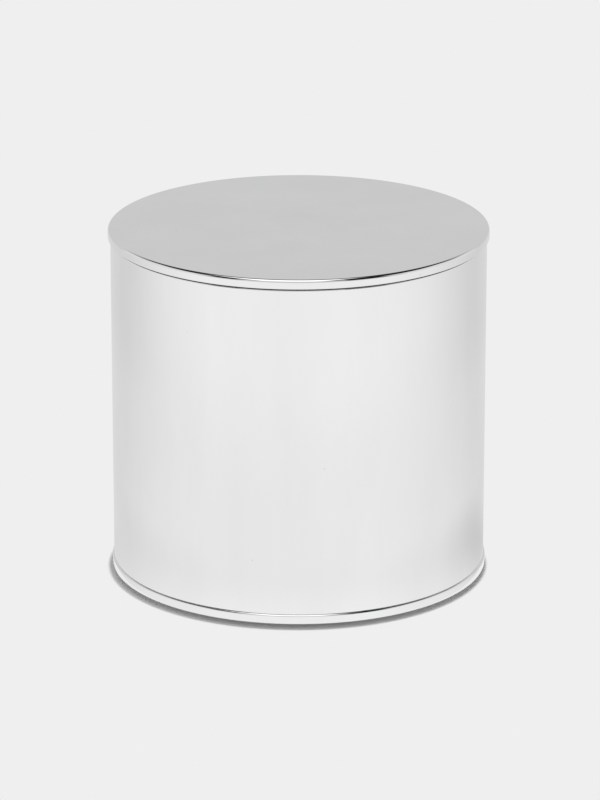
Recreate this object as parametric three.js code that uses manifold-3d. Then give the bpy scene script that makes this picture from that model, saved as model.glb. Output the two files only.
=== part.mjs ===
// A lidded candle tin: a polished sleeve closed by two thin polished discs, with a wax-tight cup inside it.
// Millimetres, +Z up. The origin is on the floor, at the centre of the foot pad.
import * as THREE from "three";
import { mergeVertices } from "three/addons/utils/BufferGeometryUtils.js";
import Module from "manifold-3d";

// Overall sizes
const lidDiameter = 100;
const tinHeight = 94; // floor to the top of the lid

// Lid plate
const lidThickness = 2.5;
const lidOverhang = 0.65; // how far the lid's edge stands out past the sleeve
const lidTopFillet = 0.6;
const lidUnderFillet = 0.35;

// Base plate and foot
const baseThickness = 2.55;
const baseOverhang = 0.45;
const baseTopFillet = 0.45;
const baseUnderFillet = 0.4;
const footStandoff = 1.2; // floor to the underside of the base's rim
const footRecess = 0.8;
const footMargin = 6; // polished ring left around the foot pad
const spigotHeight = 3.2; // ring on the base that the sleeve fits over
const spigotWall = 2;

// Outer sleeve
const sleeveWall = 1;
const sleeveTopEdge = 0.4; // the rounded edge that shows under the lid
const sleeveEdge = 0.2;

// Inner cup and what holds it
const cupWall = 0.8;
const cupAirGap = 2; // between the cup and the sleeve
const cupCorner = 4; // outside radius round the cup's floor
const cupLip = 0.7; // rounding where the wall turns out into the rim
const spacerThickness = 3;
const collarHeight = 8;

// Wicks
const wickCount = 3;
const wickCircle = 46; // diameter of the ring that the wicks stand on
const wickDiameter = 2.6;
const wickStub = 6; // wick left standing above the wax
const wickTipRoom = 4; // between the wick tips and the lid's plug
const wickTipChamfer = 0.4;
const tabDiameter = 17;
const tabThickness = 0.4;
const tabNeckWall = 0.5;
const tabNeckHeight = 6;
const stickerDiameter = 19;
const stickerThickness = 0.5;

// Lid plug, seal and liner
const plugDepth = 7; // below the lid plate
const plugClearance = 0.6; // between the plug and the cup's mouth
const plugWall = 3.4;
const plugWeb = 1.2;
const plugFillet = 0.6;
const bondThickness = 0.8;
const grooveWidth = 3;
const grooveDepth = 1.6;
const grooveDrop = 1.6; // from the plug's top edge to the groove
const sealBodyDepth = 1.2; // the ring's solid back, inside its lip
const sealLipWidth = 0.8;
const linerThickness = 1;

// Clearances
const seat = 0.3; // between pieces that rest on, or are bonded to, each other
const running = 0.2; // seal to cup, seal to plug, and wick to tab

// Smoothness
const roundSides = 72;
const smallSides = 16;
const filletSteps = 2; // at least, and one for each millimetre of radius on a larger fillet

// Radii and heights that follow from the sizes above
const lidRadius = lidDiameter / 2;
const sleeveRadius = lidRadius - lidOverhang;
const sleeveBore = sleeveRadius - sleeveWall;
const baseRadius = sleeveRadius + baseOverhang;
const baseTop = footStandoff + baseThickness;
const recessTop = footStandoff + footRecess;
const recessRadius = baseRadius - footMargin;
const lidUnderside = tinHeight - lidThickness;
const sleeveBottom = baseTop + seat;
const sleeveTop = lidUnderside - seat;
const spigotRadius = sleeveBore - seat;
const spigotTop = baseTop + spigotHeight;

const cupRadius = sleeveBore - cupAirGap;
const cupBore = cupRadius - cupWall;
const spacerBottom = baseTop + seat;
const spacerTop = spacerBottom + spacerThickness;
const cupBottom = Math.max(spacerTop, spigotTop) + seat;
const cupFloor = cupBottom + cupWall;
const cupRimTop = sleeveTop;
const cupRimUnder = cupRimTop - cupWall;

const plugTop = lidUnderside - seat;
const plugBottom = lidUnderside - plugDepth;
const plugRadius = cupBore - plugClearance;
const plugBore = plugRadius - plugWall;
const webTop = plugTop - bondThickness;
const webUnder = webTop - plugWeb;
const grooveTop = plugTop - grooveDrop;
const grooveBottom = grooveTop - grooveWidth;
const grooveFloor = plugRadius - grooveDepth;

const waxRadius = cupBore - seat;
const waxBottom = cupFloor + seat;
const wickTop = plugBottom - wickTipRoom;
const waxTop = wickTop - wickStub;

const stickerBottom = cupFloor + seat;
const tabBottom = stickerBottom + stickerThickness + seat;
const tabNeckTop = tabBottom + tabNeckHeight;
const wickRadius = wickDiameter / 2;
const tabBore = wickRadius + running;
const tabNeckRadius = tabBore + tabNeckWall;

const finishes = {
  polishedSteel: { color: 0xd9dadb, roughness: 0.06, metalness: 1 },
  brushedSteel: { color: 0xc3c4c6, roughness: 0.32, metalness: 1 },
  tinnedSteel: { color: 0xb9bbbd, roughness: 0.4, metalness: 1 },
  footRubber: { color: 0x2c2c2e, roughness: 0.85, metalness: 0 },
  cork: { color: 0xb58a5c, roughness: 0.9, metalness: 0 },
  wax: { color: 0xf1e7d2, roughness: 0.45, metalness: 0 },
  cotton: { color: 0xe9e2d3, roughness: 0.95, metalness: 0 },
  adhesive: { color: 0xe4e4e0, roughness: 0.8, metalness: 0 },
  mouldedPlastic: { color: 0xd2d3d4, roughness: 0.5, metalness: 0 },
  silicone: { color: 0xe8e8e6, roughness: 0.5, metalness: 0 },
  linerBoard: { color: 0xdcdcd8, roughness: 0.9, metalness: 0 },
};

// Points of the arc that rounds off a corner between two straight sides.
function filletArc(before, corner, after, radius) {
  const toBefore = before.clone().sub(corner).normalize();
  const toAfter = after.clone().sub(corner).normalize();
  const halfAngle = Math.acos(toBefore.dot(toAfter)) / 2;
  const inward = toBefore.clone().add(toAfter).normalize();
  const centre = corner.clone().addScaledVector(inward, radius / Math.sin(halfAngle));
  const reach = radius / Math.tan(halfAngle);
  const start = corner.clone().addScaledVector(toBefore, reach).sub(centre).angle();
  const end = corner.clone().addScaledVector(toAfter, reach).sub(centre).angle();
  const turn = THREE.MathUtils.euclideanModulo(end - start + Math.PI, 2 * Math.PI) - Math.PI;
  const arc = new THREE.ArcCurve(centre.x, centre.y, radius, start, start + turn, turn < 0);
  return arc.getPoints(Math.max(filletSteps, Math.ceil(radius)));
}

// Outline points from corners given as [radius, height, fillet], where the fillet can be left out.
function rounded(corners) {
  const spots = corners.map(([radius, height]) => new THREE.Vector2(radius, height));
  return corners.flatMap(([, , fillet], i) => {
    if (!fillet) return [spots[i]];
    return filletArc(spots.at(i - 1), spots[i], spots[(i + 1) % spots.length], fillet);
  });
}

// A solid turned about Z. Its outline runs from the axis, out, up and back to the axis.
function turnedDisc(corners, sides = roundSides) {
  return new THREE.LatheGeometry(rounded(corners), sides).rotateX(Math.PI / 2);
}

// A ring turned about Z. Its outline runs anticlockwise and closes on itself.
function turnedRing(corners, sides = roundSides) {
  const outline = rounded(corners);
  return new THREE.LatheGeometry([...outline, outline[0]], sides).rotateX(Math.PI / 2);
}

function plainDisc(radius, bottom, top, sides = roundSides) {
  return turnedDisc([[0, bottom], [radius, bottom], [radius, top], [0, top]], sides);
}

function piece(name, geometry, finish) {
  const mesh = new THREE.Mesh(geometry, new THREE.MeshStandardMaterial(finishes[finish]));
  mesh.name = name;
  return mesh;
}

const wasm = await Module();
wasm.setup();

function toManifold(geometry) {
  const bare = geometry.clone();
  bare.deleteAttribute("normal");
  bare.deleteAttribute("uv");
  const merged = mergeVertices(bare);
  return new wasm.Manifold(new wasm.Mesh({
    numProp: 3,
    vertProperties: merged.attributes.position.array,
    triVerts: new Uint32Array(merged.index.array),
  }));
}

function fromManifold(solid) {
  const { vertProperties, triVerts } = solid.getMesh();
  const geometry = new THREE.BufferGeometry();
  geometry.setAttribute("position", new THREE.BufferAttribute(vertProperties, 3));
  geometry.setIndex(new THREE.BufferAttribute(triVerts, 1));
  geometry.computeVertexNormals();
  return geometry;
}

function footPad() {
  const padTop = recessTop - seat;
  return piece("foot_pad", plainDisc(recessRadius - seat, 0, padTop), "footRubber");
}

function basePlate() {
  return piece("base_plate", turnedDisc([
    [0, recessTop],
    [recessRadius, recessTop],
    [recessRadius, footStandoff],
    [baseRadius, footStandoff, baseUnderFillet],
    [baseRadius, baseTop, baseTopFillet],
    [spigotRadius, baseTop],
    [spigotRadius, spigotTop],
    [spigotRadius - spigotWall, spigotTop],
    [spigotRadius - spigotWall, baseTop],
    [0, baseTop],
  ]), "polishedSteel");
}

function outerSleeve() {
  return piece("outer_sleeve", turnedRing([
    [sleeveBore, sleeveBottom],
    [sleeveRadius, sleeveBottom, sleeveEdge],
    [sleeveRadius, sleeveTop, sleeveTopEdge],
    [sleeveBore, sleeveTop, sleeveEdge],
  ]), "polishedSteel");
}

function cupSpacer() {
  const radius = spigotRadius - spigotWall - seat;
  return piece("cup_spacer", plainDisc(radius, spacerBottom, spacerTop), "cork");
}

function cupCollar() {
  const top = cupRimUnder - seat;
  return piece("cup_collar", turnedRing([
    [cupRadius + seat, top - collarHeight],
    [sleeveBore - seat, top - collarHeight],
    [sleeveBore - seat, top],
    [cupRadius + seat, top],
  ]), "mouldedPlastic");
}

function innerCup() {
  return piece("inner_cup", turnedDisc([
    [0, cupBottom],
    [cupRadius, cupBottom, cupCorner],
    [cupRadius, cupRimUnder],
    [sleeveBore - seat, cupRimUnder],
    [sleeveBore - seat, cupRimTop],
    [cupBore, cupRimTop, cupLip],
    [cupBore, cupFloor, cupCorner - cupWall],
    [0, cupFloor],
  ]), "brushedSteel");
}

// The space that a sticker, its tab and its wick take up in the wax.
function wickPocket() {
  return turnedDisc([
    [0, waxBottom - seat],
    [stickerDiameter / 2 + seat, waxBottom - seat],
    [stickerDiameter / 2 + seat, tabBottom + tabThickness + seat],
    [tabNeckRadius + seat, tabBottom + tabThickness + seat],
    [tabNeckRadius + seat, tabNeckTop + seat],
    [wickRadius + seat, tabNeckTop + seat],
    [wickRadius + seat, waxTop + seat],
    [0, waxTop + seat],
  ], smallSides);
}

function waxFill(wickSpots) {
  const fill = turnedDisc([
    [0, waxBottom],
    [waxRadius, waxBottom, cupCorner - cupWall],
    [waxRadius, waxTop],
    [0, waxTop],
  ]);
  const pockets = wickSpots.map(({ x, y }) => toManifold(wickPocket().translate(x, y, 0)));
  const cut = pockets.reduce((solid, pocket) => solid.subtract(pocket), toManifold(fill));
  return piece("wax_fill", fromManifold(cut), "wax");
}

function wickSticker(number) {
  const top = stickerBottom + stickerThickness;
  const disc = plainDisc(stickerDiameter / 2, stickerBottom, top, smallSides);
  return piece(`wick_sticker_${number}`, disc, "adhesive");
}

function wickTab(number) {
  return piece(`wick_tab_${number}`, turnedRing([
    [tabBore, tabBottom],
    [tabDiameter / 2, tabBottom],
    [tabDiameter / 2, tabBottom + tabThickness],
    [tabNeckRadius, tabBottom + tabThickness],
    [tabNeckRadius, tabNeckTop],
    [tabBore, tabNeckTop],
  ], smallSides), "tinnedSteel");
}

function wick(number) {
  return piece(`wick_${number}`, turnedDisc([
    [0, tabBottom],
    [wickRadius, tabBottom],
    [wickRadius, wickTop - wickTipChamfer],
    [wickRadius - wickTipChamfer, wickTop],
    [0, wickTop],
  ], smallSides), "cotton");
}

function wickAssembly(number, spot) {
  const group = new THREE.Group();
  group.position.set(spot.x, spot.y, 0);
  return group.add(wickSticker(number), wickTab(number), wick(number));
}

function lidPlate() {
  return piece("lid_plate", turnedDisc([
    [0, lidUnderside],
    [lidRadius, lidUnderside, lidUnderFillet],
    [lidRadius, tinHeight, lidTopFillet],
    [0, tinHeight],
  ]), "polishedSteel");
}

// The plug is a shallow upside-down pan. Its web has a recess above for the bond pad.
function lidPlug() {
  return piece("lid_plug", turnedDisc([
    [0, webUnder],
    [plugBore, webUnder, plugFillet],
    [plugBore, plugBottom],
    [plugRadius, plugBottom, plugFillet],
    [plugRadius, grooveBottom],
    [grooveFloor, grooveBottom],
    [grooveFloor, grooveTop],
    [plugRadius, grooveTop],
    [plugRadius, plugTop],
    [plugBore, plugTop],
    [plugBore, webTop],
    [0, webTop],
  ]), "mouldedPlastic");
}

function lidBondPad() {
  const bottom = webTop + seat;
  return piece("lid_bond_pad", plainDisc(plugBore - seat, bottom, plugTop), "adhesive");
}

// A silicone ring with a square back in the groove and one lip that reaches for the cup's wall.
function lidSeal() {
  const middle = (grooveBottom + grooveTop) / 2;
  const halfBack = grooveWidth / 2 - running;
  const back = grooveFloor + running;
  const shoulder = back + sealBodyDepth;
  const lipEnd = cupBore - running;
  return piece("lid_seal", turnedRing([
    [back, middle - halfBack],
    [shoulder, middle - halfBack],
    [shoulder, middle - sealLipWidth],
    [lipEnd, middle - sealLipWidth / 2],
    [lipEnd, middle + sealLipWidth / 2],
    [shoulder, middle + sealLipWidth],
    [shoulder, middle + halfBack],
    [back, middle + halfBack],
  ]), "silicone");
}

function lidLiner() {
  const top = webUnder - seat;
  const radius = plugBore - plugFillet;
  return piece("lid_liner", plainDisc(radius, top - linerThickness, top), "linerBoard");
}

const wickSpots = Array.from({ length: wickCount }, (_, i) => {
  const angle = Math.PI / 2 + (2 * Math.PI * i) / wickCount;
  return new THREE.Vector2(Math.cos(angle), Math.sin(angle)).multiplyScalar(wickCircle / 2);
});

const tin = new THREE.Group();
tin.add(footPad(), basePlate(), outerSleeve(), cupSpacer(), cupCollar(), innerCup());
tin.add(waxFill(wickSpots));
wickSpots.forEach((spot, i) => tin.add(wickAssembly(i + 1, spot)));

const lid = new THREE.Group();
lid.add(lidPlate(), lidBondPad(), lidPlug(), lidSeal(), lidLiner());

const candleTin = new THREE.Group();
candleTin.add(tin, lid);

export default candleTin;
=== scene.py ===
import math
import bmesh
import bpy
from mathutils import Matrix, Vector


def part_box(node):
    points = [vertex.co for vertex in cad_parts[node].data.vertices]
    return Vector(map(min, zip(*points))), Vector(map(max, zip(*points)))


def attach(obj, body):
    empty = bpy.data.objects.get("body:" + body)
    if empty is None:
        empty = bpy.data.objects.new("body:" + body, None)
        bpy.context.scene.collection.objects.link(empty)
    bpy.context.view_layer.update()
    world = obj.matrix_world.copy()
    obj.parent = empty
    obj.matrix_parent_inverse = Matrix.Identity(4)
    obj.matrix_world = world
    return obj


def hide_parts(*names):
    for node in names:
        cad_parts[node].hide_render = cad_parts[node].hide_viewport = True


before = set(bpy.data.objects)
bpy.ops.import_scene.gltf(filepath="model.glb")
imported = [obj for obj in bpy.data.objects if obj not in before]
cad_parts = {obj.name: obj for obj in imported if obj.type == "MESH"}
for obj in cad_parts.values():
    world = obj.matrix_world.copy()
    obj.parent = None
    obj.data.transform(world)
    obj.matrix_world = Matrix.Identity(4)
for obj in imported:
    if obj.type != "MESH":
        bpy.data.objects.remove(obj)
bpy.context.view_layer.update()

near = 0.00002     # how close a point has to be to count as on a ring or a level
seatGap = 0.0003   # what the frame leaves between pieces that rest on each other
print("frame loaded")


# Small helpers for modelling

def deselectAll():
    bpy.ops.object.select_all(action="DESELECT")
    bpy.context.view_layer.objects.active = None


def startDisc(name, radius, bottom, top, sides):
    # leaves the new piece in edit mode
    deselectAll()
    bpy.ops.mesh.primitive_cylinder_add(vertices=sides, radius=radius, depth=top - bottom,
                                        end_fill_type="NGON", location=(0, 0, (bottom + top) / 2))
    piece = bpy.context.object
    piece.name = name
    piece.data.name = name
    bpy.ops.object.transform_apply(location=True, rotation=True, scale=True)
    bpy.ops.object.mode_set(mode="EDIT")
    return piece


def selectFaces(test):
    bpy.ops.mesh.select_mode(type="FACE")
    bpy.ops.mesh.select_all(action="DESELECT")
    data = bpy.context.object.data
    mesh = bmesh.from_edit_mesh(data)
    for face in mesh.faces:
        if test(face.calc_center_median(), face.normal):
            face.select_set(True)
    mesh.select_flush_mode()
    bmesh.update_edit_mesh(data)


def selectVerts(test):
    bpy.ops.mesh.select_mode(type="VERT")
    bpy.ops.mesh.select_all(action="DESELECT")
    data = bpy.context.object.data
    mesh = bmesh.from_edit_mesh(data)
    for vert in mesh.verts:
        if test(vert.co):
            vert.select_set(True)
    mesh.select_flush_mode()
    bmesh.update_edit_mesh(data)


def selectCap(height, up):
    selectFaces(lambda centre, normal: normal.z * up > 0.9 and abs(centre.z - height) < near
                and math.hypot(centre.x, centre.y) < near)


def selectRings(*rings):
    # each ring is (radius, height)
    bpy.ops.mesh.select_mode(type="EDGE")
    bpy.ops.mesh.select_all(action="DESELECT")
    data = bpy.context.object.data
    mesh = bmesh.from_edit_mesh(data)

    def onRing(edge, radius, height):
        return all(abs(math.hypot(v.co.x, v.co.y) - radius) < near and abs(v.co.z - height) < near
                   for v in edge.verts)

    for edge in mesh.edges:
        if any(onRing(edge, radius, height) for radius, height in rings):
            edge.select_set(True)
    mesh.select_flush_mode()
    bmesh.update_edit_mesh(data)


def roundRings(offset, steps, *rings):
    selectRings(*rings)
    bpy.ops.mesh.bevel(offset=offset, segments=steps, profile=0.5, affect="EDGES")


def insetFace(thickness):
    bpy.ops.mesh.inset(thickness=thickness)


def drawCap(start, up, *outline):
    # extrudes the cap at start along the outline; all are (radius, height)
    radius, height = start
    selectCap(height, up)
    for nextRadius, nextHeight in outline:
        bpy.ops.mesh.extrude_region_move(TRANSFORM_OT_translate={"value": (0, 0, nextHeight - height)})
        grow = nextRadius / radius
        bpy.ops.transform.resize(value=(grow, grow, 1), center_override=(0, 0, nextHeight))
        radius, height = nextRadius, nextHeight


def openTube(wall):
    # bores a closed disc right through, leaving the wall
    selectFaces(lambda centre, normal: abs(normal.z) > 0.9 and math.hypot(centre.x, centre.y) < near)
    insetFace(wall)
    bpy.ops.mesh.bridge_edge_loops()


def finishShape(piece, sharpAngle=50):
    bpy.ops.object.mode_set(mode="OBJECT")
    bpy.ops.object.shade_smooth_by_angle(angle=math.radians(sharpAngle))
    applyModifier(piece, "WEIGHTED_NORMAL", keep_sharp=True)


def applyModifier(piece, kind, **settings):
    bpy.ops.object.modifier_add(type=kind)
    modifier = piece.modifiers[-1]
    for key, value in settings.items():
        setattr(modifier, key, value)
    bpy.ops.object.modifier_apply(modifier=modifier.name)


def handOver(piece, material, body, node):
    piece.data.materials.append(material)
    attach(piece, body)
    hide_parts(node)


# Small helpers for materials

class Shader:
    def __init__(self, name):
        self.material = bpy.data.materials.new(name)
        self.material.use_nodes = True
        self.nodes = self.material.node_tree.nodes
        self.links = self.material.node_tree.links
        self.bsdf = self.nodes["Principled BSDF"]

    def node(self, kind, **settings):
        made = self.nodes.new(kind)
        for key, value in settings.items():
            if hasattr(made, key):
                setattr(made, key, value)
            else:
                made.inputs[key].default_value = value
        return made

    def join(self, output, target):
        self.links.new(output, target)

    def scaled(self, scale, centre=(0, 0, 0)):
        # Object coordinates, moved so that centre is the middle, then scaled
        mapping = self.node("ShaderNodeMapping", Scale=scale,
                            Location=tuple(-c * s for c, s in zip(centre, scale)))
        self.join(self.node("ShaderNodeTexCoord").outputs["Object"], mapping.inputs["Vector"])
        return mapping.outputs["Vector"]

    def split(self, vector):
        made = self.node("ShaderNodeSeparateXYZ")
        self.join(vector, made.inputs[0])
        return made.outputs

    def combine(self, *values):
        made = self.node("ShaderNodeCombineXYZ")
        for socket, value in zip(made.inputs, values):
            self.feed(socket, value)
        return made.outputs[0]

    def feed(self, socket, value):
        if isinstance(value, (int, float)):
            socket.default_value = value
        else:
            self.join(value, socket)

    def math(self, operation, *values):
        made = self.node("ShaderNodeMath", operation=operation)
        for socket, value in zip(made.inputs, values):
            self.feed(socket, value)
        return made.outputs[0]

    def radius(self, centre=(0, 0, 0)):
        flat = self.scaled((1, 1, 0), centre)
        made = self.node("ShaderNodeVectorMath", operation="LENGTH")
        self.join(flat, made.inputs[0])
        return made.outputs["Value"]

    def turned(self, lines, wander=1.0):
        # a vector that only changes across a lathe's lines, with a slow wander around
        x, y, z = self.split(self.scaled((1, 1, 1)))
        outward = self.math("MULTIPLY", self.radius(), lines)
        upward = self.math("MULTIPLY", z, lines)
        around = self.math("MULTIPLY", self.math("ARCTAN2", y, x), wander)
        return self.combine(outward, upward, around)

    def noise(self, vector, scale=1.0, detail=2.0, roughness=0.5):
        made = self.node("ShaderNodeTexNoise", Scale=scale, Detail=detail, Roughness=roughness)
        self.join(vector, made.inputs["Vector"])
        return made.outputs["Fac"]

    def cells(self, vector, scale, output="Distance", feature="F1"):
        made = self.node("ShaderNodeTexVoronoi", feature=feature, Scale=scale)
        self.join(vector, made.inputs["Vector"])
        return made.outputs[output]

    def ranged(self, value, low, high, toLow, toHigh, smooth=False):
        made = self.node("ShaderNodeMapRange")
        if smooth:
            made.interpolation_type = "SMOOTHSTEP"
        self.join(value, made.inputs["Value"])
        for key, number in (("From Min", low), ("From Max", high), ("To Min", toLow), ("To Max", toHigh)):
            made.inputs[key].default_value = number
        return made.outputs["Result"]

    def ramp(self, value, *stops):
        # each stop is (place, colour) or (place, grey)
        made = self.node("ShaderNodeValToRGB")
        self.join(value, made.inputs["Fac"])
        points = made.color_ramp.elements
        while len(points) < len(stops):
            points.new(0.5)
        for point, (place, colour) in zip(points, stops):
            point.position = place
            point.color = (*colour, 1) if isinstance(colour, tuple) else (colour, colour, colour, 1)
        return made.outputs["Color"]

    def mixed(self, factor, under, over):
        # over is one colour, laid on what under gives
        made = self.node("ShaderNodeMix", data_type="RGBA")
        self.join(factor, made.inputs["Factor"])
        self.join(under, made.inputs["A"])
        made.inputs["B"].default_value = (*over, 1)
        return made.outputs["Result"]

    def blend(self, first, second, share):
        # share of first, and the rest of second
        return self.math("ADD", self.math("MULTIPLY", first, share), self.math("MULTIPLY", second, 1 - share))

    def bump(self, height, distance, strength=1.0):
        made = self.node("ShaderNodeBump", Distance=distance, Strength=strength)
        self.join(height, made.inputs["Height"])
        self.put(Normal=made.outputs["Normal"])

    def put(self, **values):
        for key, value in values.items():
            socket = self.bsdf.inputs[key.replace("_", " ")]
            if isinstance(value, bpy.types.NodeSocket):
                self.join(value, socket)
            else:
                socket.default_value = value


# Camera

cameraLook = {
    "lens": 204.66,
    "sensor": 36,
    "distance": 1.2056,
    "elevation": 18.29,       # degrees above level
    "aimHeight": 0.0470,
    "right": 0.00035,
    "down": 0.00112,
    "clip": (0.01, 50),
}


def makeCamera():
    look = cameraLook
    tilt = math.radians(look["elevation"])
    data = bpy.data.cameras.new("camera")
    data.sensor_width = look["sensor"]
    data.lens = look["lens"]
    data.clip_start, data.clip_end = look["clip"]
    camera = bpy.data.objects.new("camera", data)
    bpy.context.scene.collection.objects.link(camera)
    back = look["distance"] * math.cos(tilt) + look["down"] * math.sin(tilt)
    rise = look["distance"] * math.sin(tilt) - look["down"] * math.cos(tilt)
    camera.location = (look["right"], -back, look["aimHeight"] + rise)
    camera.rotation_euler = (math.pi / 2 - tilt, 0, 0)
    bpy.context.scene.camera = camera


makeCamera()
print("camera placed")


# Studio: a pale floor lit like a light table, with a painted contact shadow under the tin, a glowing card
# that paints what the polished steel reflects of the table, and a ring of soft panels and gaps drawn on the
# sky

floorLook = {
    "size": 8.0,
    "paint": 0.885,
    "glow": 0.863,
    "paintedShadowGlow": 0.03,        # under the tin the glow is nearly off: a painted contact shadow, in a ring under the base
    "shadeInside": 0.0499,
    "shadeOutside": 0.0511,
    "shadeCentre": (-0.0003, 0.0),
}

# a painted reflection: a glowing card stands in for the table in the polished steel, and its glow falls off
# to the sides of the tin
paintedReflectionLook = {
    "sides": 128,
    "start": 0.0525,
    "lift": 0.0002,
    # how much darker the painted reflection gets round the tin: 0 is in front of it and 1 behind it, in half
    # turns
    "sideCurve": ((0.28, 0.0), (0.45, 0.32), (0.54, 0.62), (0.65, 0.93), (0.72, 1.0), (0.84, 0.82),
                  (1.0, 0.68)),
    "sideDepth": 0.20,
    "farSideDepth": 0.05,     # added farther out
    "farFrom": (0.18, 0.26),
    "nearTurn": 0.14,         # close to the tin the sides darken sooner, in half turns
    "nearTo": (0.070, 0.110),
    "middleDip": 0.05,        # a slightly darker painted belt in front
    "dipFrom": (0.055, 0.085),
    "dipTo": (0.15, 0.30),
    "corner": (0.066, 0.012),
    "cornerDip": 0.11,
    "cornerSize": 0.045,
}

# walls: azimuth from the front, positive to the right, and elevation, in degrees
skyLook = {
    "wall": 0.597,
    "ceiling": 0.015,
    "ceilingFrom": 43,
    "panels": [
        {"azimuth": -95, "halfWidth": 32, "low": -5, "high": 33, "light": 0.72},
        {"azimuth": 98, "halfWidth": 32, "low": -5, "high": 33, "light": 0.72},
        {"azimuth": 44, "halfWidth": 14, "low": 19, "high": 70, "light": 0.004},
        {"azimuth": -48, "halfWidth": 10, "low": 22, "high": 70, "light": 0.01},
    ],
    "softness": 3.0,
    # behind the tin the wall darkens upwards more slowly
    "backCorners": {"azimuth": 180, "halfWidth": 60, "low": 36, "high": 90, "light": 0.02, "fade": 20},
    # the strip light overhead, on a ceiling one unit up: right and forward
    "strip": {"left": -0.42, "right": 0.27, "back": -0.29, "front": 0.9, "softness": 0.16, "light": 1.25},
    "stripLowest": (0.02, 0.04),    # rise of a direction from which the strip shows
}


class SkyNodes:
    def __init__(self, world):
        world.use_nodes = True
        self.tree = world.node_tree
        self.nodes = self.tree.nodes
        direction = self.nodes.new("ShaderNodeTexCoord").outputs["Generated"]
        split = self.nodes.new("ShaderNodeSeparateXYZ")
        self.tree.links.new(direction, split.inputs[0])
        self.x, self.y, self.z = split.outputs

    def math(self, operation, *values):
        made = self.nodes.new("ShaderNodeMath")
        made.operation = operation
        for socket, value in zip(made.inputs, values):
            if isinstance(value, (int, float)):
                socket.default_value = value
            else:
                self.tree.links.new(value, socket)
        return made.outputs[0]

    def step(self, value, start, end):
        made = self.nodes.new("ShaderNodeMapRange")
        made.interpolation_type = "SMOOTHSTEP"
        self.tree.links.new(value, made.inputs["Value"])
        made.inputs["From Min"].default_value = start
        made.inputs["From Max"].default_value = end
        return made.outputs["Result"]

    def window(self, value, low, high, softness):
        rising = self.step(value, low - softness / 2, low + softness / 2)
        falling = self.step(value, high - softness / 2, high + softness / 2)
        return self.math("SUBTRACT", rising, falling)

    def paint(self, under, light, mask):
        # under + (light - under) * mask
        change = self.math("SUBTRACT", light, under)
        return self.math("MULTIPLY_ADD", change, mask, under)


def makeSky():
    look = skyLook
    world = bpy.data.worlds.new("studio")
    bpy.context.scene.world = world
    sky = SkyNodes(world)
    azimuth = sky.math("ARCTAN2", sky.x, sky.math("MULTIPLY", sky.y, -1.0))
    elevation = sky.math("ARCSINE", sky.z)
    soft = math.radians(look["softness"])
    edge = math.radians(look["ceilingFrom"])
    light = sky.paint(look["wall"], look["ceiling"], sky.step(elevation, edge - soft, edge + soft))
    for panel in [*look["panels"], look["backCorners"]]:
        turned = sky.math("WRAP", sky.math("SUBTRACT", azimuth, math.radians(panel["azimuth"])),
                          math.pi, -math.pi)
        half = math.radians(panel["halfWidth"])
        across = sky.window(turned, -half, half, soft)
        fade = math.radians(panel.get("fade", look["softness"]))
        upright = sky.window(elevation, math.radians(panel["low"]), math.radians(panel["high"]), fade)
        light = sky.paint(light, panel["light"], sky.math("MULTIPLY", across, upright))
    strip = look["strip"]
    height = sky.math("MAXIMUM", sky.z, look["stripLowest"][0])
    right = sky.math("DIVIDE", sky.x, height)
    forward = sky.math("DIVIDE", sky.math("MULTIPLY", sky.y, -1.0), height)
    across = sky.window(right, strip["left"], strip["right"], strip["softness"])
    along = sky.window(forward, strip["back"], strip["front"], strip["softness"])
    above = sky.step(sky.z, *look["stripLowest"])
    mask = sky.math("MULTIPLY", sky.math("MULTIPLY", across, along), above)
    light = sky.paint(light, strip["light"], mask)
    background = sky.nodes["Background"]
    background.inputs["Color"].default_value = (1, 1, 1, 1)
    sky.tree.links.new(light, background.inputs["Strength"])


# a wide lamp overhead that lights the wax and plastic but doesn't show in the steel
lampLook = {"size": 0.8, "away": 1.5, "power": 15.0, "tilt": 42}


def makeLamp(floor):
    look = lampLook
    data = bpy.data.lights.new("softLamp", "AREA")
    data.shape = "SQUARE"
    data.size = look["size"]
    data.energy = look["power"]
    lamp = bpy.data.objects.new("softLamp", data)
    bpy.context.scene.collection.objects.link(lamp)
    tilt = math.radians(look["tilt"])
    lamp.location = (0, -look["away"] * math.sin(tilt), look["away"] * math.cos(tilt))
    lamp.rotation_euler = (tilt, 0, 0)
    lamp.visible_glossy = False
    lamp.visible_camera = False
    # the floor is left out, so the lamp doesn't wash out the painted contact shadow
    unlit = bpy.data.collections.new("lampLeavesOut")
    unlit.objects.link(floor)
    unlit.collection_objects[0].light_linking.link_state = "EXCLUDE"
    lamp.light_linking.receiver_collection = unlit


def makeFloor():
    look = floorLook
    deselectAll()
    bpy.ops.mesh.primitive_plane_add(size=look["size"], location=(0, 0, 0))
    floor = bpy.context.object
    floor.name = "floor"
    shade = Shader("floorPaint")
    # painted contact shadow: the glow fades out in a slightly off-centre ring under the base, so the floor
    # goes dark there; only the floor's paint under it is shaded by the tin itself
    away = shade.radius((*look["shadeCentre"], 0))
    glow = shade.ranged(away, look["shadeInside"], look["shadeOutside"], look["paintedShadowGlow"], 1, smooth=True)
    paint = shade.ramp(glow, (0.0, look["paint"]), (1.0, 0.0))
    shade.put(Base_Color=paint, Roughness=1.0, Specular_IOR_Level=0.0, Emission_Color=(1, 1, 1, 1),
              Emission_Strength=shade.math("MULTIPLY", glow, look["glow"]))
    floor.data.materials.append(shade.material)
    return floor


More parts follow.
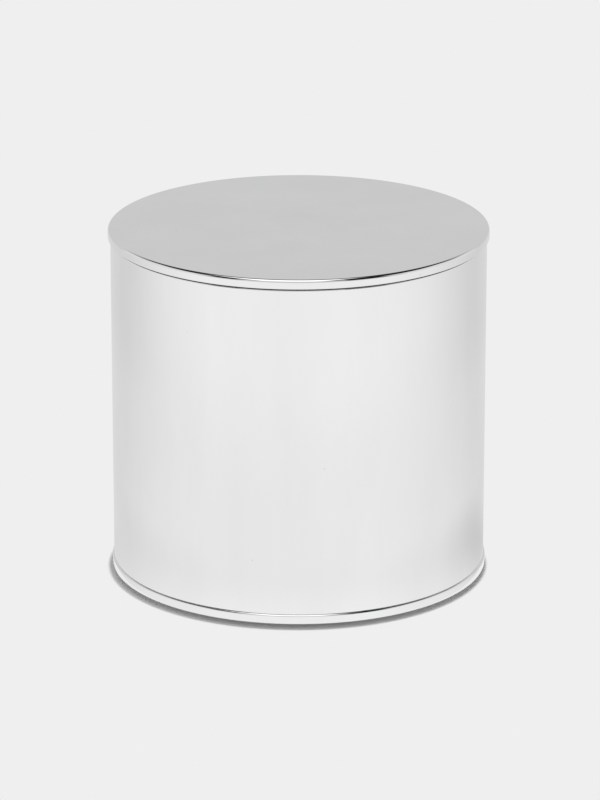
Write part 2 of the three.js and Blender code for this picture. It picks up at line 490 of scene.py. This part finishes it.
def makeReflectionCard():
    # a glowing card seen only in the polished steel, just above the floor: a painted reflection of the table,
    # darker to the sides of the tin, in a belt in front and in one spot beside it
    look = paintedReflectionLook
    deselectAll()
    bpy.ops.mesh.primitive_circle_add(vertices=look["sides"], radius=look["start"], fill_type="NOTHING",
                                      location=(0, 0, look["lift"]))
    card = bpy.context.object
    card.name = "reflectionCard"
    bpy.ops.object.transform_apply(location=True, rotation=True, scale=True)
    bpy.ops.object.mode_set(mode="EDIT")
    bpy.ops.mesh.select_all(action="SELECT")
    bpy.ops.mesh.extrude_region_move()
    grow = floorLook["size"] / 2 / look["start"]
    bpy.ops.transform.resize(value=(grow, grow, 1), center_override=(0, 0, look["lift"]))
    bpy.ops.object.mode_set(mode="OBJECT")
    shade = Shader("cardGlow")
    x, y, _ = shade.split(shade.scaled((1, 1, 1)))
    away = shade.radius()
    turned = shade.math("ABSOLUTE", shade.math("ARCTAN2", x, shade.math("MULTIPLY", y, -1.0)))
    half = shade.ranged(turned, 0, math.pi, 0, 1)
    half = shade.math("ADD", half, shade.ranged(away, *look["nearTo"], look["nearTurn"], 0, smooth=True))
    side = shade.ramp(half, *look["sideCurve"])
    far = shade.ranged(away, *look["farFrom"], 0, 1, smooth=True)
    sideDepth = shade.math("MULTIPLY_ADD", far, look["farSideDepth"], look["sideDepth"])
    darker = shade.math("MULTIPLY", side, sideDepth)
    front = shade.math("SUBTRACT", 1.0, side)
    middle = shade.math("SUBTRACT", shade.ranged(away, *look["dipFrom"], 0, 1, smooth=True),
                        shade.ranged(away, *look["dipTo"], 0, 1, smooth=True))
    dip = shade.math("MULTIPLY", shade.math("MULTIPLY", middle, look["middleDip"]), front)
    corner = shade.ranged(shade.radius((*look["corner"], 0)), 0, look["cornerSize"],
                          look["cornerDip"], 0, smooth=True)
    # painted reflection: the card's glow is taken down by the side shading, the belt in front and the spot
    light = shade.math("SUBTRACT", 1.0, darker)
    light = shade.math("SUBTRACT", light, dip)
    light = shade.math("SUBTRACT", light, corner)
    shade.put(Base_Color=(0, 0, 0, 1), Specular_IOR_Level=0.0, Emission_Color=(1, 1, 1, 1),
              Emission_Strength=shade.math("MULTIPLY", light, floorLook["glow"]))
    card.data.materials.append(shade.material)
    card.visible_camera = False
    card.visible_diffuse = False
    card.visible_transmission = False
    card.visible_volume_scatter = False
    card.visible_shadow = False


makeSky()
makeLamp(makeFloor())
makeReflectionCard()
bpy.context.scene.view_settings.view_transform = "Standard"
print("studio made")


# Polished steel of the sleeve and both discs

mirrorLook = {
    "pale": (0.985, 0.987, 0.990),
    "dull": (0.945, 0.948, 0.953),
    "roughness": (0.020, 0.045),
    "cloudSize": 55,          # clouds of handling marks, per metre
    "specks": 170,            # cells for dust specks, per metre
    "speckSize": 0.035,
    "speckPatches": 90,       # and where they gather
    "speckColour": (0.62, 0.62, 0.63),
    "speckRoughness": 0.3,
    "lines": 2600,
    "lineDepth": 0.0000002,
    # painted shade: a dark colour for the lid's underside, so the crease under the lid reads dark; the
    # roughness below is the turned finish
    "paintedCreaseShade": (0.22, 0.22, 0.225),
    "undersideRoughness": 0.45,
}


def mirrorSteel(name, streak, paintedShadeBelow=None):
    # streak stretches the clouds along a direction: 1 leaves them as they are
    # faces no higher than that level get a painted shade: they are painted dark so the crease under the lid
    # reads dark, and are left rougher, as turned
    look = mirrorLook
    shade = Shader(name)
    cloud = shade.noise(shade.scaled(streak), look["cloudSize"], detail=4, roughness=0.6)
    where = shade.scaled((1, 1, 1))
    size = look["speckSize"]
    speck = shade.ranged(shade.cells(where, look["specks"]), size / 2, size, 1, 0)
    chosen = shade.ranged(shade.noise(where, look["speckPatches"], detail=0), 0.60, 0.62, 0, 1)
    speck = shade.math("MULTIPLY", speck, chosen)
    colour = shade.ramp(cloud, (0.3, look["dull"]), (0.7, look["pale"]))
    colour = shade.mixed(speck, colour, look["speckColour"])
    smooth, dull = look["roughness"]
    rough = shade.ranged(cloud, 0.35, 0.75, smooth, dull)
    rough = shade.math("MULTIPLY_ADD", speck, look["speckRoughness"], rough)
    # the underside: painted dark as shade in the crease, and rougher
    if paintedShadeBelow is not None:
        under = shade.ranged(shade.split(where)[2], paintedShadeBelow, paintedShadeBelow + near, 1, 0)
        colour = shade.mixed(under, colour, look["paintedCreaseShade"])
        rough = shade.math("MULTIPLY_ADD", under, look["undersideRoughness"], rough)
    shade.put(Base_Color=colour, Metallic=1.0, Roughness=rough)
    shade.bump(shade.noise(shade.turned(look["lines"]), detail=1), look["lineDepth"])
    return shade.material


sleeveSteel = mirrorSteel("sleeveSteel", (1, 1, 0.25))
baseSteel = mirrorSteel("baseSteel", (1, 1, 1))
# the lid's underside is painted dark: painted shade in the crease under the lid
lidSteel = mirrorSteel("lidSteel", (1, 1, 1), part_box("lid_plate")[0].z)


# Lid plate

lidLook = {"sides": 256, "topFillet": 0.0008, "underFillet": 0.00035, "filletSteps": 8}


def makeLidPlate():
    look = lidLook
    low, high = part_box("lid_plate")
    plate = startDisc("lidPlate", high.x, low.z, high.z, look["sides"])
    roundRings(look["topFillet"], look["filletSteps"], (high.x, high.z))
    roundRings(look["underFillet"], look["filletSteps"], (high.x, low.z))
    finishShape(plate)
    handOver(plate, lidSteel, "lid", "lid_plate")


# Sleeve

sleeveLook = {
    "sides": 256,
    "topEdge": 0.0004,
    "bottomEdge": 0.00012,
    "insideEdge": 0.0002,
    "edgeSteps": 6,
    "baseSeam": 0.00004,      # the hairline left where it stands on the base
}


def makeSleeve():
    look = sleeveLook
    low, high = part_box("outer_sleeve")
    radius = high.x
    wall = radius - (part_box("inner_cup")[1].x + seatGap)
    bottom = low.z - seatGap + look["baseSeam"]
    sleeve = startDisc("outerSleeve", radius, bottom, high.z, look["sides"])
    openTube(wall)
    roundRings(look["topEdge"], look["edgeSteps"], (radius, high.z))
    roundRings(look["bottomEdge"], look["edgeSteps"], (radius, bottom))
    roundRings(look["insideEdge"], look["edgeSteps"], (radius - wall, high.z))
    finishShape(sleeve)
    handOver(sleeve, sleeveSteel, "tin", "outer_sleeve")


# Base plate

baseLook = {"sides": 256, "topFillet": 0.00045, "underFillet": 0.0004, "filletSteps": 6}


def makeBasePlate():
    look = baseLook
    low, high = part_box("base_plate")
    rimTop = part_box("cup_spacer")[0].z - seatGap
    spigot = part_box("inner_cup")[1].x
    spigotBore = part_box("cup_spacer")[1].x + seatGap
    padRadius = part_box("foot_pad")[1].x + seatGap
    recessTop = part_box("foot_pad")[1].z + seatGap
    plate = startDisc("basePlate", high.x, low.z, rimTop, look["sides"])
    drawCap((high.x, rimTop), 1, (spigot, rimTop), (spigot, high.z), (spigotBore, high.z),
            (spigotBore, rimTop))
    drawCap((high.x, low.z), -1, (padRadius, low.z), (padRadius, recessTop))
    roundRings(look["topFillet"], look["filletSteps"], (high.x, rimTop))
    roundRings(look["underFillet"], look["filletSteps"], (high.x, low.z))
    finishShape(plate)
    handOver(plate, baseSteel, "tin", "base_plate")


makeLidPlate()
makeSleeve()
makeBasePlate()
print("outside made")


# Finishes of the inner pieces

spunSteelLook = {
    "pale": (0.80, 0.80, 0.81),
    "dark": (0.60, 0.60, 0.62),
    "roughness": (0.24, 0.40),
    "lines": 5200,
    "broadLines": 371,
    "lineDepth": 0.000004,
}


def spunSteel():
    # turned on a lathe: fine lines run round it
    look = spunSteelLook
    shade = Shader("spunSteel")
    lines = shade.noise(shade.turned(look["lines"], wander=3), detail=3, roughness=0.7)
    broad = shade.noise(shade.turned(look["broadLines"], wander=2), detail=2)
    tone = shade.blend(lines, broad, 0.7)
    shade.put(Base_Color=shade.ramp(tone, (0.3, look["dark"]), (0.7, look["pale"])), Metallic=1.0,
              Roughness=shade.ranged(tone, 0.3, 0.7, *look["roughness"]), Anisotropic=0.5)
    shade.bump(lines, look["lineDepth"])
    return shade.material


waxLook = {
    "sides": 128,
    "corner": 0.0032,
    "cornerSteps": 6,
    "rings": 22,              # rings across the poured top
    "ringWidth": 0.002,
    "fineRings": 4,           # the first ones are narrower, for the edge that climbs
    "fineRingWidth": 0.0005,
    "wickCuts": 3,
    "sink": 0.0005,           # the middle sinks as the wax sets
    "sunkMiddle": 0.004,
    "wallClimb": 0.0006,      # and the edge clings to the cup
    "wallReach": 0.005,
    "wickClimb": 0.0008,
    "wickReach": 0.004,
    "ripple": 0.00025,
    "rippleSize": 0.018,
    "cream": (0.905, 0.845, 0.730),
    "shadow": (0.860, 0.785, 0.655),
    "frost": (0.945, 0.915, 0.850),
    "cloudSize": 60,
    "frostSize": 900,
    "frostPatches": 35,
    "grain": 1400,
    "grainDepth": 0.00003,
}


def waxMaterial():
    look = waxLook
    shade = Shader("pouredWax")
    where = shade.scaled((1, 1, 1))
    cloud = shade.noise(where, look["cloudSize"], detail=4, roughness=0.6)
    frost = shade.noise(where, look["frostSize"], detail=6, roughness=0.75)
    frost = shade.ranged(frost, 0.52, 0.72, 0, 0.55)
    patch = shade.ranged(shade.noise(where, look["frostPatches"], detail=2), 0.45, 0.65, 0.15, 1)
    colour = shade.ramp(cloud, (0.3, look["shadow"]), (0.7, look["cream"]))
    colour = shade.mixed(shade.math("MULTIPLY", frost, patch), colour, look["frost"])
    shade.put(Base_Color=colour, Roughness=shade.ranged(cloud, 0.3, 0.7, 0.38, 0.55),
              Subsurface_Weight=0.35, Subsurface_Radius=(1.0, 0.75, 0.5), Subsurface_Scale=0.003,
              Coat_Weight=0.1, Coat_Roughness=0.3)
    shade.bump(shade.noise(where, look["grain"], detail=4, roughness=0.6), look["grainDepth"], 0.5)
    return shade.material


cottonLook = {
    "dark": (0.70, 0.63, 0.50),
    "pale": (0.93, 0.90, 0.82),
    "fibres": (5200, 5200, 700),    # across, across and along
    "waxPatches": 420,
    "fibreDepth": 0.00008,
}


def cottonMaterial():
    look = cottonLook
    shade = Shader("wickCotton")
    fibres = shade.noise(shade.scaled(look["fibres"]), detail=4, roughness=0.7)
    waxed = shade.noise(shade.scaled((1, 1, 1)), look["waxPatches"], detail=2)
    tone = shade.blend(fibres, waxed, 0.6)
    shade.put(Base_Color=shade.ramp(tone, (0.3, look["dark"]), (0.7, look["pale"])),
              Roughness=shade.ranged(waxed, 0.3, 0.7, 0.65, 0.95), Sheen_Weight=0.3)
    shade.bump(fibres, look["fibreDepth"], 0.8)
    return shade.material


mouldedPlasticLook = {
    "dark": (0.655, 0.660, 0.665),
    "pale": (0.735, 0.738, 0.742),
    "grain": 3200,
    "flowLines": 130,
    "grainDepth": 0.00002,
}


def mouldedPlasticMaterial():
    look = mouldedPlasticLook
    shade = Shader("mouldedPlastic")
    grain = shade.noise(shade.scaled((1, 1, 1)), look["grain"], detail=2)
    flow = shade.noise(shade.turned(look["flowLines"], wander=1.5), detail=3, roughness=0.6)
    shade.put(Base_Color=shade.ramp(flow, (0.3, look["dark"]), (0.7, look["pale"])),
              Roughness=shade.ranged(grain, 0.3, 0.7, 0.38, 0.56))
    shade.bump(grain, look["grainDepth"], 0.6)
    return shade.material


siliconeLook = {
    "dark": (0.78, 0.79, 0.79),
    "pale": (0.87, 0.87, 0.86),
    "dust": 2600,
    "milk": 150,
    "grain": 5000,
    "grainDepth": 0.00001,
}


def siliconeMaterial():
    look = siliconeLook
    shade = Shader("sealSilicone")
    where = shade.scaled((1, 1, 1))
    dust = shade.ranged(shade.noise(where, look["dust"], detail=5, roughness=0.8), 0.60, 0.72, 0, 1)
    milk = shade.noise(where, look["milk"], detail=2)
    shade.put(Base_Color=shade.ramp(milk, (0.3, look["dark"]), (0.7, look["pale"])),
              Roughness=shade.ranged(dust, 0, 1, 0.34, 0.62), Subsurface_Weight=0.4,
              Subsurface_Radius=(1.0, 1.0, 1.0), Subsurface_Scale=0.0012)
    shade.bump(shade.noise(where, look["grain"], detail=2), look["grainDepth"], 0.6)
    return shade.material


linerBoardLook = {
    "dark": (0.74, 0.72, 0.67),
    "pale": (0.86, 0.85, 0.81),
    "fleck": (0.55, 0.50, 0.42),
    "lengthwise": (900, 5200, 900),
    "crosswise": (4200, 1300, 900),
    "flecks": 2400,
    "fibreDepth": 0.00005,
}


def linerBoardMaterial():
    look = linerBoardLook
    shade = Shader("linerBoard")
    lengthwise = shade.noise(shade.scaled(look["lengthwise"]), detail=4, roughness=0.7)
    crosswise = shade.noise(shade.scaled(look["crosswise"]), detail=4, roughness=0.7)
    fibres = shade.blend(lengthwise, crosswise, 0.5)
    fleck = shade.noise(shade.scaled((1, 1, 1)), look["flecks"], detail=1)
    fleck = shade.ranged(fleck, 0.70, 0.76, 0, 0.5)
    colour = shade.ramp(fibres, (0.35, look["dark"]), (0.65, look["pale"]))
    shade.put(Base_Color=shade.mixed(fleck, colour, look["fleck"]),
              Roughness=shade.ranged(fibres, 0.35, 0.65, 0.80, 0.95))
    shade.bump(fibres, look["fibreDepth"], 0.8)
    return shade.material


rubberLook = {
    "dark": (0.020, 0.020, 0.022),
    "pale": (0.042, 0.042, 0.044),
    "grain": 2200,
    "bloom": 90,
    "grainDepth": 0.00005,
}


def rubberMaterial():
    look = rubberLook
    shade = Shader("footRubber")
    where = shade.scaled((1, 1, 1))
    grain = shade.noise(where, look["grain"], detail=4, roughness=0.7)
    bloom = shade.noise(where, look["bloom"], detail=3)
    shade.put(Base_Color=shade.ramp(bloom, (0.3, look["dark"]), (0.7, look["pale"])),
              Roughness=shade.ranged(grain, 0.3, 0.7, 0.62, 0.88))
    shade.bump(grain, look["grainDepth"], 0.8)
    return shade.material


corkLook = {
    "dark": (0.36, 0.21, 0.10),
    "middle": (0.52, 0.33, 0.17),
    "pale": (0.64, 0.44, 0.25),
    "crack": (0.19, 0.10, 0.05),
    "granules": 420,
    "crackWidth": 0.09,
    "crackDepth": 0.0001,
}


def corkMaterial():
    look = corkLook
    shade = Shader("pressedCork")
    where = shade.scaled((1, 1, 1))
    tone = shade.split(shade.cells(where, look["granules"], output="Color"))[0]
    crack = shade.cells(where, look["granules"], feature="DISTANCE_TO_EDGE")
    crack = shade.ranged(crack, 0, look["crackWidth"], 1, 0)
    colour = shade.ramp(tone, (0.0, look["dark"]), (0.5, look["middle"]), (1.0, look["pale"]))
    shade.put(Base_Color=shade.mixed(crack, colour, look["crack"]),
              Roughness=shade.ranged(tone, 0, 1, 0.82, 0.95))
    shade.bump(crack, look["crackDepth"], -0.8)
    return shade.material


tinnedLook = {
    "dark": (0.58, 0.59, 0.60),
    "pale": (0.76, 0.77, 0.78),
    "spangles": 700,
    "rolled": (300, 9000, 300),
    "rolledDepth": 0.00001,
}


def tinnedMaterial():
    look = tinnedLook
    shade = Shader("tinnedSteel")
    spangle = shade.split(shade.cells(shade.scaled((1, 1, 1)), look["spangles"], output="Color"))[0]
    rolled = shade.noise(shade.scaled(look["rolled"]), detail=2)
    tone = shade.blend(spangle, rolled, 0.4)
    shade.put(Base_Color=shade.ramp(tone, (0.2, look["dark"]), (0.8, look["pale"])), Metallic=1.0,
              Roughness=shade.ranged(tone, 0.2, 0.8, 0.28, 0.46))
    shade.bump(rolled, look["rolledDepth"], 0.6)
    return shade.material


adhesiveLook = {
    "dark": (0.66, 0.66, 0.62),
    "pale": (0.86, 0.86, 0.83),
    "pores": 1500,
    "cloudSize": 120,
    "poreDepth": 0.00008,
}


def adhesiveMaterial():
    look = adhesiveLook
    shade = Shader("bondFoam")
    where = shade.scaled((1, 1, 1))
    pore = shade.ranged(shade.cells(where, look["pores"]), 0.1, 0.5, 0, 1)
    cloud = shade.noise(where, look["cloudSize"], detail=3)
    tone = shade.blend(pore, cloud, 0.5)
    shade.put(Base_Color=shade.ramp(tone, (0.2, look["dark"]), (0.8, look["pale"])),
              Roughness=shade.ranged(pore, 0, 1, 0.85, 0.65))
    shade.bump(pore, look["poreDepth"], 0.8)
    return shade.material


# Inner cup

cupLook = {
    "sides": 192,
    "wall": 0.0008,
    "corner": 0.004,          # outside, where the wall meets the floor
    "lip": 0.0007,            # where the wall turns out into the rim
    "rimEdge": 0.0002,
    "steps": 8,
    "edgeSteps": 2,
}


def makeInnerCup():
    look = cupLook
    low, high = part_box("inner_cup")
    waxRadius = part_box("wax_fill")[1].x
    bore = waxRadius + seatGap
    outside = bore + look["wall"]
    rimUnder = high.z - look["wall"]
    floorTop = low.z + look["wall"]
    cup = startDisc("innerCup", outside, low.z, rimUnder, look["sides"])
    drawCap((outside, rimUnder), 1, (high.x, rimUnder), (high.x, high.z), (bore, high.z), (bore, floorTop))
    roundRings(look["corner"], look["steps"], (outside, low.z))
    roundRings(look["corner"] - look["wall"], look["steps"], (bore, floorTop))
    roundRings(look["lip"], look["steps"], (bore, high.z))
    roundRings(look["rimEdge"], look["edgeSteps"], (high.x, high.z), (high.x, rimUnder))
    finishShape(cup)
    handOver(cup, spunSteel(), "tin", "inner_cup")


# Poured wax, with the edge clinging to the cup and to each wick

def wickSpots():
    boxes = [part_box(f"wick_{number}") for number in (1, 2, 3)]
    return [((low.x + high.x) / 2, (low.y + high.y) / 2) for low, high in boxes]


def pullUp(rise, reach, falloff, test):
    selectVerts(test)
    bpy.ops.transform.translate(value=(0, 0, rise), use_proportional_edit=True,
                                proportional_edit_falloff=falloff, proportional_size=reach,
                                use_proportional_connected=True)


def makeWaxFill():
    look = waxLook
    low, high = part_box("wax_fill")
    spots = wickSpots()
    wickRadius = (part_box("wick_1")[1].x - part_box("wick_1")[0].x) / 2
    radius = high.x + seatGap - near    # the wax fills the gap that the frame leaves at the cup's wall
    wax = startDisc("waxFill", radius, low.z, high.z, look["sides"])
    roundRings(look["corner"], look["cornerSteps"], (radius, low.z))
    selectCap(high.z, 1)
    for ring in range(look["rings"]):
        insetFace(look["fineRingWidth"] if ring < look["fineRings"] else look["ringWidth"])

    def aroundWick(co, reach):
        return any(math.hypot(co.x - x, co.y - y) < reach for x, y in spots)

    selectFaces(lambda centre, normal: normal.z > 0.9 and aroundWick(centre, look["wickReach"] * 1.5))
    bpy.ops.mesh.subdivide(number_cuts=look["wickCuts"])

    def onTop(co):
        return co.z > high.z - 0.001

    surface = wax.vertex_groups.new(name="surface")
    selectVerts(onTop)
    bpy.ops.object.vertex_group_assign()
    pullUp(-look["sink"], high.x, "SMOOTH",
           lambda co: onTop(co) and math.hypot(co.x, co.y) < look["sunkMiddle"])
    pullUp(look["wallClimb"], look["wallReach"], "SHARP",
           lambda co: onTop(co) and math.hypot(co.x, co.y) > radius - near)
    pullUp(look["wickClimb"], look["wickReach"], "SHARP",
           lambda co: onTop(co) and aroundWick(co, wickRadius * 1.1))
    bpy.ops.object.mode_set(mode="OBJECT")
    ripple = bpy.data.textures.new("waxRipple", "CLOUDS")
    ripple.noise_scale = look["rippleSize"]
    applyModifier(wax, "DISPLACE", texture=ripple, direction="Z", strength=look["ripple"],
                  vertex_group=surface.name, texture_coords="LOCAL")
    wax.vertex_groups.clear()
    finishShape(wax, sharpAngle=70)
    handOver(wax, waxMaterial(), "tin", "wax_fill")


# Braided wicks, modelled once and copied

wickLook = {
    "sides": 12,
    "braidRow": 0.00062,      # height of one crossing of the braid
    "braidTurn": 15,          # degrees that each row leans
    "relief": 0.00014,
    "cut": 0.0003,            # rounding of the trimmed tip
}


def makeWicks():
    look = wickLook
    material = cottonMaterial()
    spots = wickSpots()
    low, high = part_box("wick_1")
    radius = (high.x - low.x) / 2
    core = radius - look["relief"]
    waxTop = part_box("wax_fill")[1].z
    rows = int((high.z - waxTop) / look["braidRow"]) + 2
    braidStart = high.z - rows * look["braidRow"]
    master = startDisc("wick", core, low.z, braidStart, look["sides"])
    selectCap(braidStart, 1)
    for row in range(rows):
        bpy.ops.mesh.extrude_region_move(TRANSFORM_OT_translate={"value": (0, 0, look["braidRow"])})
        bpy.ops.transform.rotate(value=math.radians(look["braidTurn"]), orient_axis="Z",
                                 center_override=(0, 0, 0))

    def raised(centre, normal):
        # every other face, like a chequer, along rows that lean
        row = math.floor((centre.z - braidStart) / look["braidRow"])
        lean = math.degrees(math.atan2(centre.y, centre.x)) - row * look["braidTurn"]
        column = math.floor(lean / (360 / look["sides"]) + 0.25)
        return centre.z > braidStart and abs(normal.z) < 0.9 and (row + column) % 2 == 0

    selectFaces(raised)
    bpy.ops.mesh.inset(thickness=look["relief"] / 2, depth=look["relief"], use_individual=True)
    selectFaces(lambda centre, normal: normal.z > 0.9 and centre.z > high.z - near)
    insetFace(look["cut"])
    bpy.ops.mesh.inset(thickness=look["cut"], depth=-look["cut"] / 2)
    bpy.ops.object.mode_set(mode="OBJECT")
    applyModifier(master, "SUBSURF", levels=2, render_levels=2)
    for number, (x, y) in enumerate(spots, start=1):
        deselectAll()
        master.select_set(True)
        bpy.context.view_layer.objects.active = master
        bpy.ops.object.duplicate()
        wick = bpy.context.object
        wick.name = f"wick{number}"
        wick.data.name = wick.name
        wick.location = (x, y, 0)
        bpy.ops.object.transform_apply(location=True, rotation=True, scale=True)
        bpy.ops.object.shade_smooth()
        handOver(wick, material, "tin", f"wick_{number}")
    bpy.data.objects.remove(master)


# Lid plug

plugLook = {
    "sides": 192,
    "wall": 0.0034,
    "web": 0.0012,
    "groove": 0.0016,
    "running": 0.0002,        # play between the seal and its groove
    "fillet": 0.0006,
    "steps": 5,
    "grooveEdge": 0.00015,
    "edgeSteps": 2,
}


def makeLidPlug():
    look = plugLook
    low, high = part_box("lid_plug")
    sealLow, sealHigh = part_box("lid_seal")
    radius = high.x
    bore = radius - look["wall"]
    grooveFloor = radius - look["groove"]
    grooveBottom = sealLow.z - look["running"]
    grooveTop = sealHigh.z + look["running"]
    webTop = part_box("lid_bond_pad")[0].z - seatGap
    webUnder = webTop - look["web"]
    plug = startDisc("lidPlug", radius, low.z, grooveBottom, look["sides"])
    drawCap((radius, grooveBottom), 1, (grooveFloor, grooveBottom), (grooveFloor, grooveTop),
            (radius, grooveTop), (radius, high.z), (bore, high.z), (bore, webTop))
    drawCap((radius, low.z), -1, (bore, low.z), (bore, webUnder))
    roundRings(look["fillet"], look["steps"], (radius, low.z), (bore, webUnder))
    roundRings(look["grooveEdge"], look["edgeSteps"], (radius, grooveBottom), (radius, grooveTop),
               (bore, low.z))
    finishShape(plug)
    handOver(plug, mouldedPlastic, "lid", "lid_plug")


# Seal ring: a square back in the plug's groove and one lip

sealLook = {
    "sides": 192,
    "back": 0.0012,
    "lipRoot": 0.0016,
    "lipTip": 0.0008,
    "edge": 0.00018,
    "steps": 3,
}


def makeLidSeal():
    look = sealLook
    low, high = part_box("lid_seal")
    middle = (low.z + high.z) / 2
    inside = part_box("lid_plug")[1].x - plugLook["groove"] + plugLook["running"]
    shoulder = inside + look["back"]
    root = look["lipRoot"] / 2
    tip = look["lipTip"] / 2
    seal = startDisc("lidSeal", shoulder, low.z, middle - root, look["sides"])
    drawCap((shoulder, middle - root), 1, (high.x, middle - tip), (high.x, middle + tip),
            (shoulder, middle + root), (shoulder, high.z))
    openTube(look["back"])
    roundRings(look["edge"], look["steps"], (high.x, middle - tip), (high.x, middle + tip),
               (shoulder, low.z), (shoulder, high.z), (inside, low.z), (inside, high.z))
    finishShape(seal, sharpAngle=60)
    handOver(seal, siliconeMaterial(), "seal", "lid_seal")


# Liner board inside the plug

linerLook = {
    "sides": 160,
    "edge": 0.00025,
    "edgeSteps": 3,
    "ringAt": 0.036,          # a pressed ring on the face towards the wax
    "ringWidth": 0.0008,
    "ringDepth": 0.00012,
}


def makeLidLiner():
    look = linerLook
    low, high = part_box("lid_liner")
    liner = startDisc("lidLiner", high.x, low.z, high.z, look["sides"])
    outer = look["ringAt"]
    inner = outer - look["ringWidth"]
    slope = look["ringWidth"] / 3
    floor = low.z + look["ringDepth"]
    drawCap((high.x, low.z), -1, (outer, low.z), (outer - slope, floor), (inner + slope, floor),
            (inner, low.z))
    roundRings(look["edge"], look["edgeSteps"], (high.x, low.z), (high.x, high.z))
    finishShape(liner)
    handOver(liner, linerBoardMaterial(), "lid", "lid_liner")


# Foot pad

footLook = {
    "sides": 160,
    "edge": 0.0004,
    "edgeSteps": 3,
    "grooves": 4,
    "firstGroove": 0.040,
    "pitch": 0.0045,
    "grooveWidth": 0.0016,
    "grooveDepth": 0.0005,
}


def makeFootPad():
    look = footLook
    low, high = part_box("foot_pad")
    pad = startDisc("footPad", high.x, low.z, high.z, look["sides"])
    floor = low.z + look["grooveDepth"]
    path = []
    for number in range(look["grooves"]):
        outer = look["firstGroove"] - number * look["pitch"]
        inner = outer - look["grooveWidth"]
        path += [(outer, low.z), (outer, floor), (inner, floor), (inner, low.z)]
    drawCap((high.x, low.z), -1, *path)
    roundRings(look["edge"], look["edgeSteps"], (high.x, low.z), (high.x, high.z))
    finishShape(pad)
    handOver(pad, rubberMaterial(), "tin", "foot_pad")


# Pieces whose shape the frame already has

def coat(material, *nodes):
    for name in nodes:
        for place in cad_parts[name].material_slots:
            place.material = material


mouldedPlastic = mouldedPlasticMaterial()
makeInnerCup()
makeWaxFill()
makeWicks()
print("cup, wax and wicks made")
makeLidPlug()
makeLidSeal()
makeLidLiner()
makeFootPad()
print("lid's underside and foot made")
coat(corkMaterial(), "cup_spacer")
coat(mouldedPlastic, "cup_collar")
coat(adhesiveMaterial(), "lid_bond_pad", "wick_sticker_1", "wick_sticker_2", "wick_sticker_3")
coat(tinnedMaterial(), "wick_tab_1", "wick_tab_2", "wick_tab_3")
print("materials given")
